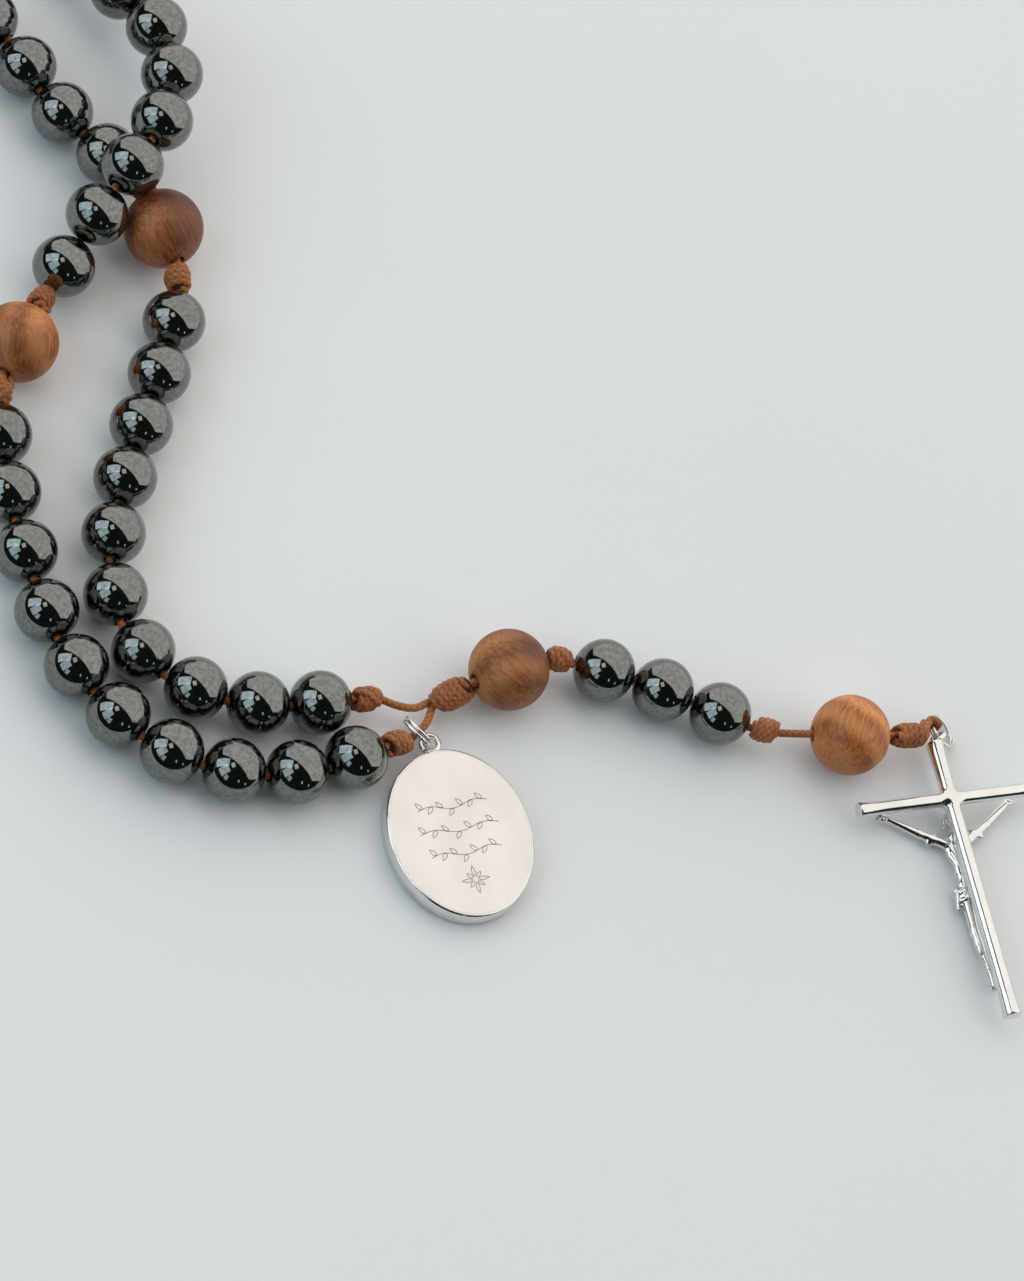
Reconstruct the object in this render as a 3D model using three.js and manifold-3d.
// A five-decade rosary lying on a flat surface, in millimetres, +Z up.
// Round beads are strung on one knotted cord; a medal hangs on one leg of the loop and
// a crucifix hangs at the end of the pendant. The origin is on the surface, under the
// middle of the rosary's bounding box; +X runs from the loop towards the crucifix.
import * as THREE from 'three';
import { mergeVertices } from 'three/addons/utils/BufferGeometryUtils.js';
import Module from 'manifold-3d';

const wasm = await Module();
wasm.setup();

// ---- driving dimensions ----------------------------------------------------------
const BEAD_RADIUS = 4;
const BEAD_POLE = BEAD_RADIUS - 0.09; // a bead is a little shorter along its bore than across it
const BEAD_FLAT = 0.12; // how far a bore mouth is cut back from the round
const BEAD_BORE_RADIUS = 0.8;
const WOOD_RADIUS = 5.1;
const WOOD_POLE = WOOD_RADIUS - 0.05;
const WOOD_FLAT = 0.16;
const WOOD_BORE_RADIUS = 0.95;
const CORD_RADIUS = 0.52;
const KNOT_RADIUS = 1.7;
const KNOT_LENGTH = 3.75;
const KNOT_WAIST = 0.52; // a knot's end, as a share of its radius
const END_KNOT_LENGTH = 5.6;
const CENTRE_KNOT_RADIUS = 2;
const CENTRE_KNOT_LENGTH = 5.2;
const TOUCH_GAP = 0.06; // between two round beads that touch
const KNOT_GAP = 0.12; // between a knot and the bead beside it
const BENT_KNOT_GAP = 0.36; // the same, where the pendant bends at the knot
const CORD_SPLIT = 0.3; // between two lengths of cord that meet
const LEG_HEIGHT = 3.1; // of the cord where a leg enters its knot
const FOLD_SLACK = 0.45; // extra bare cord where the loop folds
const BEADS_PER_DECADE = 10;

const RING_WIRE_RADIUS = 0.35;
const RING_RADIUS = 2.2; // middle of the wire
const EYELET_WIRE_RADIUS = 0.38;
const EYELET_RADIUS = 1.15;
const CORD_EYE_RADIUS = 1;

const MEDAL_LENGTH = 22.6;
const MEDAL_WIDTH = 18.6;
const MEDAL_THICKNESS = 2.7;
const MEDAL_EDGE = 0.5; // round-over of the rim
const MEDAL_TURN = 137.5; // degrees, from +X to the eyelet end

const SHAFT_RADIUS = 1;
const SHAFT_ABOVE = 7.9; // crossing to the top end
const SHAFT_BELOW = 29.5;
const ARM_RADIUS = 0.87;
const ARM_LENGTH = 12.85;
const FLARE = 0.2; // added to a bar's radius at its ends
const FLARE_FROM = 0.8; // where the flare starts, as a share of half the bar
const BAR_CHAMFER = 0.3;
const CROSS_HEIGHT = 3.2; // of the bars' axis above the surface
const CROSS_TURN = -46.3; // degrees, from +X to the foot
const CORPUS_GAP = 0.1; // between the figure and the bars

const CORD_SIDES = 8;
const BEAD_SIDES = 10;
const FAR_BEAD_SIDES = 8;

// ---- routes, measured from the middle of the centre knot ---------------------------
// Each point of the loop's route is [x, y, lift above the resting height].
const LOOP_ROUTE = [
  [-7.2, -6, 0], [-13.1, -11.8, 0], [-19.2, -16.8, 0], [-26.6, -19.9, 0], [-34.5, -19.7, 0],
  [-41.2, -15.2, 0], [-45.6, -8.1, 0], [-50.4, 5.6, 0], [-54.9, 22.1, 0], [-58.2, 28.3, 0],
  [-63.4, 32.2, 0], [-68.8, 36.3, 0], [-75.8, 37.9, 0], [-84.2, 39.1, 0], [-98.1, 45.3, 0],
  [-112, 43, 0], [-126, 34, 0], [-141.5, 29.5, 0], [-157.5, 33.5, 0], [-168, 45.5, 0],
  [-169.5, 61, 0], [-161.5, 75, 0], [-147, 82.5, 0], [-131, 82, 0], [-116.5, 75, 0],
  [-103, 64.5, 0], [-90, 59.3, 1.1], [-82.4, 57.3, 3.4], [-75.5, 52.9, 4.9], [-71.4, 45.7, 5.8],
  [-70.4, 37.8, 6.9], [-70.7, 29.8, 5.2], [-70.6, 22.5, 1.1], [-70, 13.5, 0], [-69.6, 5.4, 0],
  [-64.3, -5, 0], [-53, -16.6, 0], [-40, -25.9, 0], [-24.6, -28.7, 0], [-10.5, -21.8, 0],
  [-1.3, -8.4, 0],
];
const LEG_A_ROUTE = [[-1.9, -2.2, 2.3], [-2.9, -4, 2.5], [-4.7, -5.2, 2.8], [-7.2, -6, LEG_HEIGHT]];
const LEG_B_ROUTE = [[-1.1, -2.7, 2.2], [-0.7, -4.7, 2.4], [-0.9, -6.6, 2.8], [-1.3, -8.4, LEG_HEIGHT]];
// Directions in degrees from +X that each length of the pendant takes, with its rise in mm.
const PENDANT = {
  centreKnot: { turn: 57, low: 2.2, high: 4.7 },
  wood5: { turn: 57, rise: 0 },
  knot1: { turn: 36, rise: -1.1 },
  beads: [{ turn: 19 }, { turn: 16 }, { turn: 9 }],
  knot2: { turn: 25 },
  bareCord: { length: 3.7 },
  wood6: { turn: 33, rise: 1 },
  knot3: { turn: 44, rise: -1.4 },
};
const EYE_REACH = [-0.398, 2.219, -1.2]; // from the end knot to the cord's eye
const RING_CHORD = [0.7273, -0.5455, -0.0455]; // from the eye to the cross's eyelet, in ring radii
const RING_TILT = 38; // degrees, of the crucifix ring's plane from level
const MEDAL_RING_CENTRE = [-0.95, -6.65, 2.55];
const MEDAL_EYELET = [1.05, -6.6, 1.6];
const RING_LEAN = 60; // degrees, of the medal ring's plane from level

// ---- small helpers ---------------------------------------------------------------
const vec = (p) => new THREE.Vector3(p[0], p[1], p[2]);
const rad = THREE.MathUtils.degToRad;
const headed = (degrees) => new THREE.Vector3(Math.cos(rad(degrees)), Math.sin(rad(degrees)), 0);
const between = (a, b, f = 0.5) => new THREE.Vector3().lerpVectors(a, b, f);

function solid(geometry) {
  const bare = geometry.clone();
  bare.deleteAttribute('normal');
  bare.deleteAttribute('uv');
  const merged = mergeVertices(bare, 1e-4);
  const mesh = new wasm.Mesh({
    numProp: 3,
    vertProperties: new Float32Array(merged.attributes.position.array),
    triVerts: new Uint32Array(merged.index.array),
  });
  return new wasm.Manifold(mesh);
}

function geometryOf(manifold) {
  const mesh = manifold.getMesh();
  const geometry = new THREE.BufferGeometry();
  const positions = new Float32Array(mesh.vertProperties);
  geometry.setAttribute('position', new THREE.BufferAttribute(positions, 3));
  geometry.setIndex(new THREE.BufferAttribute(new Uint32Array(mesh.triVerts), 1));
  geometry.computeVertexNormals();
  return geometry;
}

function union(geometries) {
  const solids = geometries.map(solid);
  return geometryOf(solids.slice(1).reduce((sum, one) => sum.add(one), solids[0]));
}

// Turns a shape made along +Y so that it runs from start to end, with y = 0 halfway.
function along(geometry, start, end) {
  const direction = new THREE.Vector3().subVectors(end, start).normalize();
  const turn = new THREE.Quaternion().setFromUnitVectors(new THREE.Vector3(0, 1, 0), direction);
  const middle = between(start, end);
  return geometry.clone().applyQuaternion(turn).translate(middle.x, middle.y, middle.z);
}

function lathe(profile, sides) {
  return new THREE.LatheGeometry(profile.map(([r, y]) => new THREE.Vector2(r, y)), sides);
}

// A ring of round wire, lying in the plane that the normal faces.
function ring(centre, normal, radius, wire, wireSides = 6, steps = 18) {
  const shape = new THREE.TorusGeometry(radius, wire, wireSides, steps);
  const facing = normal.clone().normalize();
  const turn = new THREE.Quaternion().setFromUnitVectors(new THREE.Vector3(0, 0, 1), facing);
  return shape.applyQuaternion(turn).translate(centre.x, centre.y, centre.z);
}

// ---- beads and knots ---------------------------------------------------------------
function ballProfile(radius, pole, flat, bore, steps) {
  const half = pole - flat;
  const open = Math.acos(half / pole);
  const profile = bore > 0 ? [[bore, -half]] : [[0, -half]];
  for (let i = 0; i <= steps; i += 1) {
    const angle = open + (Math.PI - 2 * open) * (i / steps);
    profile.push([radius * Math.sin(angle), -pole * Math.cos(angle)]);
  }
  profile.push(bore > 0 ? [bore, half] : [0, half]);
  if (bore > 0) profile.push([bore, -half]);
  return profile;
}

const BEAD_PROFILE = ballProfile(BEAD_RADIUS, BEAD_POLE, BEAD_FLAT, BEAD_BORE_RADIUS, 6);
const FAR_BEAD_PROFILE = ballProfile(BEAD_RADIUS, BEAD_POLE, BEAD_FLAT, 0, 5);
const WOOD_PROFILE = ballProfile(WOOD_RADIUS, WOOD_POLE, WOOD_FLAT, WOOD_BORE_RADIUS, 7);
const BEAD_SHAPE = lathe(BEAD_PROFILE, BEAD_SIDES);
const FAR_BEAD_SHAPE = lathe(FAR_BEAD_PROFILE, FAR_BEAD_SIDES);
const WOOD_SHAPE = lathe(WOOD_PROFILE, BEAD_SIDES);

// A barrel knot: swollen in the middle, drawn in at both ends.
function barrel(radius, length) {
  const half = length / 2;
  const waist = KNOT_WAIST * radius;
  const shoulder = half / 2;
  const profile = [
    [0, -half], [waist, -half], [radius, -shoulder], [radius, shoulder], [waist, half], [0, half],
  ];
  return lathe(profile, BEAD_SIDES);
}

// A path that bends only at its own points, so that the cord is straight inside every bead.
class ChainPath extends THREE.Curve {
  constructor(points) {
    super();
    this.points = points;
  }

  getPoint(t) {
    const place = Math.min(Math.max(t, 0), 1) * (this.points.length - 1);
    const i = Math.min(Math.floor(place), this.points.length - 2);
    return between(this.points[i], this.points[i + 1], place - i);
  }

  getUtoTmapping(u) {
    return u;
  }
}

function cordAlong(points) {
  const outline = new THREE.Shape();
  for (let i = 0; i < CORD_SIDES; i += 1) {
    const angle = (2 * Math.PI * i) / CORD_SIDES;
    const x = CORD_RADIUS * Math.cos(angle);
    const y = CORD_RADIUS * Math.sin(angle);
    if (i === 0) outline.moveTo(x, y);
    else outline.lineTo(x, y);
  }
  const options = { extrudePath: new ChainPath(points), steps: points.length - 1, bevelEnabled: false };
  return new THREE.ExtrudeGeometry(outline, options);
}

// ---- stringing the loop --------------------------------------------------------------
const HALF_LENGTH = {
  bead: BEAD_POLE + TOUCH_GAP / 2,
  wood: WOOD_POLE + TOUCH_GAP / 2,
  knot: KNOT_LENGTH / 2 + KNOT_GAP,
};
const REST_HEIGHT = { bead: BEAD_RADIUS, wood: WOOD_RADIUS, knot: 0 };

function loopPieces() {
  const pieces = ['knot'];
  for (let decade = 1; decade <= 5; decade += 1) {
    for (let i = 0; i < BEADS_PER_DECADE; i += 1) pieces.push('bead');
    pieces.push('knot');
    if (decade < 5) pieces.push('wood', 'knot');
  }
  return pieces;
}

const PIECES = loopPieces();
// The loop folds between these beads: [decade, bead before the fold].
const FOLDS = [[1, 5], [2, 4], [4, 3], [5, 3]];

function pieceIndex(decade, bead) {
  return 1 + (decade - 1) * (BEADS_PER_DECADE + 3) + (bead - 1);
}

const FOLD_INDEX = FOLDS.map(([decade, bead]) => pieceIndex(decade, bead));

// Threads the pieces along the route one after another. Two beads sit as close as their
// round faces allow, so a tighter bend takes a little more cord. Returns the corners of the
// cord, one between each two pieces, and how far along the route the last one lies.
function thread(route) {
  const curve = new THREE.CatmullRomCurve3(route.map(vec));
  const heightAt = (i) => {
    const near = Math.max(REST_HEIGHT[PIECES[i - 1]] ?? 0, REST_HEIGHT[PIECES[i]] ?? 0);
    return near === 0 || i === 0 || i === PIECES.length ? LEG_HEIGHT : near;
  };
  const corner = (t, i) => {
    const point = curve.getPoint(Math.min(t, 1));
    point.z = Math.max(point.z, 0) + heightAt(i);
    return point;
  };
  const corners = [corner(0, 0)];
  let t = 0;
  let lastMiddle = null;
  PIECES.forEach((piece, i) => {
    const start = corners[i];
    const slack = FOLD_INDEX.includes(i) || FOLD_INDEX.includes(i - 1) ? FOLD_SLACK / 2 : 0;
    const need = 2 * HALF_LENGTH[piece] + slack;
    const apart = i > 0 ? HALF_LENGTH[piece] + HALF_LENGTH[PIECES[i - 1]] + slack : 0;
    const reaches = (u) => {
      const end = corner(u, i + 1);
      const far = start.distanceTo(end) >= need;
      const clear = !lastMiddle || between(start, end).distanceTo(lastMiddle) >= apart;
      return far && clear;
    };
    let low = t;
    let high = t + 1 / LOOP_ROUTE.length;
    while (!reaches(high) && high < 1.2) high += 0.5 / LOOP_ROUTE.length;
    for (let step = 0; step < 40; step += 1) {
      const middle = (low + high) / 2;
      if (reaches(middle)) high = middle;
      else low = middle;
    }
    t = high;
    const end = corner(t, i + 1);
    lastMiddle = between(start, end);
    corners.push(end);
  });
  return { corners, t };
}

// The route is scaled about its first point until the pieces fill it from knot to knot.
function fittedRoute() {
  const [x0, y0] = LOOP_ROUTE[0];
  const scaled = (k) => LOOP_ROUTE.map(([x, y, lift]) => [x0 + (x - x0) * k, y0 + (y - y0) * k, lift * k]);
  let low = 0.7;
  let high = 1.5;
  for (let step = 0; step < 40; step += 1) {
    const k = (low + high) / 2;
    if (thread(scaled(k)).t < 1) high = k;
    else low = k;
  }
  return scaled(low);
}

const CORNERS = thread(fittedRoute()).corners;

// ---- the group -------------------------------------------------------------------------
const FINISH = {
  hematite: { color: 0x15181a, roughness: 0.08, metalness: 0.9 },
  wood: { color: 0xa0683f, roughness: 0.55, metalness: 0 },
  cord: { color: 0x9a5a30, roughness: 0.8, metalness: 0 },
  silver: { color: 0xd9d6d1, roughness: 0.25, metalness: 1 },
};
const group = new THREE.Group();

function add(name, geometry, finish) {
  const mesh = new THREE.Mesh(geometry, new THREE.MeshStandardMaterial(FINISH[finish]));
  mesh.name = name;
  group.add(mesh);
  return mesh;
}

// A turned piece on the cord, kept as a placed mesh so that its own axis is its bore.
function addTurned(name, shape, start, end, finish) {
  const mesh = add(name, shape.clone(), finish);
  const direction = new THREE.Vector3().subVectors(end, start).normalize();
  mesh.quaternion.setFromUnitVectors(new THREE.Vector3(0, 1, 0), direction);
  mesh.position.copy(between(start, end));
  return mesh;
}

const twoDigits = (n) => String(n).padStart(2, '0');

// ---- loop: beads that are single pieces ------------------------------------------------
const SINGLE_BEADS = { 1: [1, 10], 2: [1, 4], 4: [4, 10], 5: [1, 10] };
for (const [decade, [first, last]] of Object.entries(SINGLE_BEADS)) {
  for (let bead = first; bead <= last; bead += 1) {
    const i = pieceIndex(Number(decade), bead);
    addTurned(`decade_${decade}_bead_${twoDigits(bead)}`, BEAD_SHAPE, CORNERS[i], CORNERS[i + 1], 'hematite');
  }
}
for (let wood = 1; wood <= 4; wood += 1) {
  const i = pieceIndex(wood, BEADS_PER_DECADE) + 2;
  addTurned(`wood_bead_${wood}`, WOOD_SHAPE, CORNERS[i], CORNERS[i + 1], 'wood');
}

// ---- loop: lengths of cord with their knots ----------------------------------------------
// A length runs from corner `from` to corner `to`, cut back where the next length starts.
function cordLength(from, to) {
  const points = CORNERS.slice(from, to + 1).map((point) => point.clone());
  const cut = CORD_SPLIT / 2;
  const last = points.length - 1;
  points[0].lerp(points[1], cut / points[0].distanceTo(points[1]));
  points[last].lerp(points[last - 1], cut / points[last].distanceTo(points[last - 1]));
  const parts = [cordAlong(points)];
  for (let i = from; i < to; i += 1) {
    if (PIECES[i] === 'knot') parts.push(along(barrel(KNOT_RADIUS, KNOT_LENGTH), CORNERS[i], CORNERS[i + 1]));
  }
  return parts;
}

const [foldNear1, foldFar1, foldFar2, foldNear2] = FOLD_INDEX.map((i) => i + 1);
add('near_cord_1', union(cordLength(0, foldNear1)), 'cord');
add('loop_cord_1', union(cordLength(foldNear1, foldFar1)), 'cord');
add('loop_cord_2', union(cordLength(foldFar2, foldNear2)), 'cord');
add('near_cord_2', union(cordLength(foldNear2, PIECES.length)), 'cord');

// The far beads of the loop are joined on their cord, one run for each decade.
function farRun(name, from, to) {
  const parts = cordLength(from, to);
  for (let i = from; i < to; i += 1) {
    if (PIECES[i] === 'bead') parts.push(along(FAR_BEAD_SHAPE, CORNERS[i], CORNERS[i + 1]));
  }
  add(name, union(parts), 'hematite');
}

const woodTwo = pieceIndex(2, BEADS_PER_DECADE) + 2;
const woodThree = pieceIndex(3, BEADS_PER_DECADE) + 2;
farRun('decade_2_far_run', foldFar1, woodTwo);
farRun('decade_3_run', woodTwo, woodThree + 1);
farRun('decade_4_far_run', woodThree + 1, foldFar2);

// ---- legs and centre knot ------------------------------------------------------------------
function leg(name, route) {
  const curve = new THREE.CatmullRomCurve3(route.map(vec));
  const points = curve.getPoints(6);
  points[6].lerp(points[5], CORD_SPLIT / points[6].distanceTo(points[5]));
  add(name, cordAlong(points), 'cord');
}

leg('leg_cord_a', LEG_A_ROUTE);
leg('leg_cord_b', LEG_B_ROUTE);

// ---- pendant -------------------------------------------------------------------------------
function stepFrom(start, turn, rise, length) {
  const flat = Math.sqrt(length * length - rise * rise);
  const end = start.clone().addScaledVector(headed(turn), flat);
  end.z = start.z + rise;
  return end;
}

const knotHeading = PENDANT.centreKnot;
const knotRise = knotHeading.high - knotHeading.low;
const knotFlat = Math.sqrt(CENTRE_KNOT_LENGTH ** 2 - knotRise ** 2);
const knotStart = headed(knotHeading.turn).multiplyScalar(-knotFlat / 2).setZ(knotHeading.low);
const knotEnd = stepFrom(knotStart, knotHeading.turn, knotRise, CENTRE_KNOT_LENGTH);
add('centre_knot', along(barrel(CENTRE_KNOT_RADIUS, CENTRE_KNOT_LENGTH), knotStart, knotEnd), 'cord');

const woodStart = stepFrom(knotEnd, knotHeading.turn, 0, CORD_SPLIT);
woodStart.z = WOOD_RADIUS - PENDANT.wood5.rise / 2;
const woodEnd = stepFrom(woodStart, PENDANT.wood5.turn, PENDANT.wood5.rise, 2 * HALF_LENGTH.wood);
const bentKnotSpan = KNOT_LENGTH + 2 * BENT_KNOT_GAP;
const knot1End = stepFrom(woodEnd, PENDANT.knot1.turn, PENDANT.knot1.rise, bentKnotSpan);
knot1End.z = BEAD_RADIUS;
const beadEnds = [knot1End];
PENDANT.beads.forEach(({ turn }) => {
  beadEnds.push(stepFrom(beadEnds[beadEnds.length - 1], turn, 0, 2 * HALF_LENGTH.bead));
});
// The bare cord lies in line with the bore of the last wooden bead, which slides onto it.
const bareRise = (PENDANT.wood6.rise * PENDANT.bareCord.length) / (2 * HALF_LENGTH.wood);
const knot2Rise = WOOD_RADIUS - PENDANT.wood6.rise / 2 - bareRise - BEAD_RADIUS;
const knot2End = stepFrom(beadEnds[3], PENDANT.knot2.turn, knot2Rise, bentKnotSpan);
const bareEnd = stepFrom(knot2End, PENDANT.wood6.turn, bareRise, PENDANT.bareCord.length);
const wood6End = stepFrom(bareEnd, PENDANT.wood6.turn, PENDANT.wood6.rise, 2 * HALF_LENGTH.wood);
const endKnotSpan = END_KNOT_LENGTH + 2 * BENT_KNOT_GAP;
const knot3End = stepFrom(wood6End, PENDANT.knot3.turn, PENDANT.knot3.rise, endKnotSpan);

addTurned('wood_bead_5', WOOD_SHAPE, woodStart, woodEnd, 'wood');
for (let i = 0; i < 3; i += 1) {
  addTurned(`pendant_bead_${i + 1}`, BEAD_SHAPE, beadEnds[i], beadEnds[i + 1], 'hematite');
}
addTurned('wood_bead_6', WOOD_SHAPE, bareEnd, wood6End, 'wood');

function cutBack(points, atStart, atEnd) {
  const copy = points.map((point) => point.clone());
  const last = copy.length - 1;
  if (atStart) copy[0].lerp(copy[1], CORD_SPLIT / 2 / copy[0].distanceTo(copy[1]));
  if (atEnd) copy[last].lerp(copy[last - 1], CORD_SPLIT / 2 / copy[last].distanceTo(copy[last - 1]));
  return copy;
}

const knotShape = barrel(KNOT_RADIUS, KNOT_LENGTH);
const cord1 = cutBack([woodStart, woodEnd, knot1End], true, true);
add('pendant_cord_1', union([cordAlong(cord1), along(knotShape, woodEnd, knot1End)]), 'cord');
add('pendant_cord_2', cordAlong(cutBack([beadEnds[0], beadEnds[1]], true, true)), 'cord');
add('pendant_cord_3', cordAlong(cutBack([beadEnds[1], beadEnds[2]], true, true)), 'cord');
const cord4 = cutBack([beadEnds[2], beadEnds[3], knot2End], true, true);
add('pendant_cord_4', union([cordAlong(cord4), along(knotShape, beadEnds[3], knot2End)]), 'cord');

// ---- crucifix ring, held in the cord's eye and the cross's eyelet ------------------------------
const eyeCentre = knot3End.clone().add(vec(EYE_REACH));
const crossEye = eyeCentre.clone().addScaledVector(vec(RING_CHORD), RING_RADIUS);
const chord = new THREE.Vector3().subVectors(crossEye, eyeCentre);
const chordAxis = chord.clone().normalize();
const side = new THREE.Vector3(-chordAxis.y, chordAxis.x, 0).normalize();
const ringDrop = side.multiplyScalar(Math.cos(rad(RING_TILT))).setZ(-Math.sin(rad(RING_TILT)));
const ringReach = Math.sqrt(RING_RADIUS ** 2 - (chord.length() / 2) ** 2);
const ringCentre = between(eyeCentre, crossEye).addScaledVector(ringDrop, ringReach);
const ringNormal = new THREE.Vector3().crossVectors(chordAxis, ringDrop).normalize();
add('crucifix_ring', ring(ringCentre, ringNormal, RING_RADIUS, RING_WIRE_RADIUS), 'silver');

const tangentAt = (point) => new THREE.Vector3()
  .subVectors(point, ringCentre).cross(ringNormal).normalize();

const eyeShape = ring(eyeCentre, tangentAt(eyeCentre), CORD_EYE_RADIUS, CORD_RADIUS, 6, 14);
const eyeSide = new THREE.Vector3().subVectors(knot3End, eyeCentre);
const eyeTangent = tangentAt(eyeCentre);
eyeSide.addScaledVector(eyeTangent, -eyeSide.dot(eyeTangent)).normalize();
const eyeRoot = eyeCentre.clone().addScaledVector(eyeSide, CORD_EYE_RADIUS);
const cord5 = cutBack([knot2End, bareEnd, wood6End, knot3End, eyeRoot], true, false);
const endKnot = along(barrel(KNOT_RADIUS, END_KNOT_LENGTH), wood6End, knot3End);
add('pendant_cord_5', union([cordAlong(cord5), endKnot, eyeShape]), 'cord');

// ---- cross ----------------------------------------------------------------------------------
function bar(radius, start, end) {
  const half = start.distanceTo(end) / 2;
  const flareFrom = half * FLARE_FROM;
  const rim = half - BAR_CHAMFER;
  const profile = [
    [0, -half], [radius, -half], [radius + FLARE, -rim], [radius, -flareFrom],
    [radius, flareFrom], [radius + FLARE, rim], [radius, half], [0, half],
  ];
  return along(lathe(profile, 12), start, end);
}

const shaftAxis = headed(CROSS_TURN);
const armAxis = headed(CROSS_TURN + 90);
const CROSS_EYELET_RADIUS = EYELET_RADIUS - 0.1;
const crossTangent = tangentAt(crossEye);
const eyeletSide = shaftAxis.clone().addScaledVector(crossTangent, -shaftAxis.dot(crossTangent)).normalize();
const topEnd = crossEye.clone().addScaledVector(eyeletSide, CROSS_EYELET_RADIUS).setZ(CROSS_HEIGHT);
const crossing = topEnd.clone().addScaledVector(shaftAxis, SHAFT_ABOVE);
const foot = crossing.clone().addScaledVector(shaftAxis, SHAFT_BELOW);
const armEnd = (sign) => crossing.clone().addScaledVector(armAxis, sign * ARM_LENGTH);
const CROSS_EYELET_WIRE = EYELET_WIRE_RADIUS - 0.06;
const eyelet = ring(crossEye, crossTangent, CROSS_EYELET_RADIUS, CROSS_EYELET_WIRE, 6, 14);
add('cross', union([
  bar(SHAFT_RADIUS, topEnd, foot), bar(ARM_RADIUS, armEnd(-1), armEnd(1)), eyelet,
]), 'silver');

// ---- corpus: the figure on the underside of the cross -------------------------------------------
// Places are [down the shaft from the crossing, out along the right arm, below the bars' axis].
const onCross = ([down, out, below]) => crossing.clone()
  .addScaledVector(shaftAxis, down).addScaledVector(armAxis, out).setZ(CROSS_HEIGHT - below);

// A rounded tapering length between two places.
function limb(startRadius, endRadius, start, end) {
  const a = onCross(start);
  const b = onCross(end);
  const half = a.distanceTo(b) / 2;
  const cap = (radius, share) => half + radius * share;
  const profile = [
    [0, -cap(startRadius, 0.8)], [startRadius * 0.7, -cap(startRadius, 0.4)], [startRadius, -half],
    [endRadius, half], [endRadius * 0.7, cap(endRadius, 0.4)], [0, cap(endRadius, 0.8)],
  ];
  return along(lathe(profile, 7), a, b);
}

function lump(place, [down, out, deep]) {
  const shape = new THREE.SphereGeometry(1, 10, 6);
  shape.scale(down, out, deep).rotateZ(rad(CROSS_TURN));
  const at = onCross(place);
  return shape.translate(at.x, at.y, at.z);
}

const FIGURE_HALF_DEPTH = 0.75;
const FIGURE_DEPTH = SHAFT_RADIUS + FLARE + CORPUS_GAP + FIGURE_HALF_DEPTH;
const figure = (down, out, more = 0) => [down, out, FIGURE_DEPTH + more];
const corpusParts = [
  lump(figure(2.2, 0.4, 0.15), [1.35, 1.05, 0.95]), // head
  limb(0.55, 0.6, figure(3, 0.2), figure(4.9, 0)), // neck
  lump(figure(6.6, 0), [2.5, 1.75, FIGURE_HALF_DEPTH]), // chest
  lump(figure(9.4, 0), [2.4, 1.3, 0.7]), // waist
  lump(figure(12.2, 0), [2.1, 1.65, 0.8]), // loincloth
  lump(figure(12.6, -1.7), [1.1, 0.8, 0.6]), // its knot
];
for (const sign of [-1, 1]) {
  corpusParts.push(
    limb(0.6, 0.5, figure(5.2, sign * 1.4), figure(3.4, sign * 4.6)), // upper arm
    limb(0.5, 0.38, figure(3.4, sign * 4.6), figure(0.9, sign * 8.2)), // forearm
    lump(figure(0.5, sign * 8.9), [0.6, 0.8, 0.35]), // hand
    limb(0.85, 0.68, figure(13.4, sign * 0.8), figure(18, sign * 0.75)), // thigh
    limb(0.66, 0.42, figure(18, sign * 0.75), figure(22.8, sign * 0.35)), // shin
    lump(figure(24, sign * 0.35), [1.4, 0.45, 0.45]), // foot
  );
}
add('corpus', union(corpusParts), 'silver');

// ---- medal and its ring ----------------------------------------------------------------------
const medalEye = vec(MEDAL_EYELET);
const medalAxis = headed(MEDAL_TURN);
const medalCentre = medalEye.clone()
  .addScaledVector(medalAxis, -(MEDAL_LENGTH / 2 + EYELET_RADIUS)).setZ(0);

function medalPlate() {
  const outline = new THREE.Shape();
  const long = MEDAL_LENGTH / 2 - MEDAL_EDGE;
  const wide = MEDAL_WIDTH / 2 - MEDAL_EDGE;
  outline.absellipse(0, 0, long, wide, 0, 2 * Math.PI, false);
  const options = {
    depth: MEDAL_THICKNESS - 2 * MEDAL_EDGE,
    curveSegments: 24,
    bevelSize: MEDAL_EDGE,
    bevelThickness: MEDAL_EDGE,
    bevelSegments: 1,
  };
  const plate = new THREE.ExtrudeGeometry(outline, options);
  plate.translate(0, 0, MEDAL_EDGE).rotateZ(rad(MEDAL_TURN));
  return plate.translate(medalCentre.x, medalCentre.y, 0);
}

const medalLoop = ring(medalEye, new THREE.Vector3(0, 0, 1), EYELET_RADIUS, EYELET_WIRE_RADIUS, 6, 14);
add('medal', union([medalPlate(), medalLoop]), 'silver');

const medalRingCentre = vec(MEDAL_RING_CENTRE);
const toEyelet = new THREE.Vector3().subVectors(medalEye, medalRingCentre).normalize();
const leaning = new THREE.Vector3(0, -Math.cos(rad(RING_LEAN)), Math.sin(rad(RING_LEAN)));
const medalRingNormal = new THREE.Vector3().crossVectors(toEyelet, leaning);
const medalRing = ring(medalRingCentre, medalRingNormal, RING_RADIUS, RING_WIRE_RADIUS);
add('medal_ring', medalRing, 'silver');

// ---- origin: on the surface, under the middle of the box -----------------------------------------
const box = new THREE.Box3().setFromObject(group, true);
const middle = box.getCenter(new THREE.Vector3());
group.children.forEach((mesh) => mesh.position.sub(new THREE.Vector3(middle.x, middle.y, box.min.z)));

export default group;
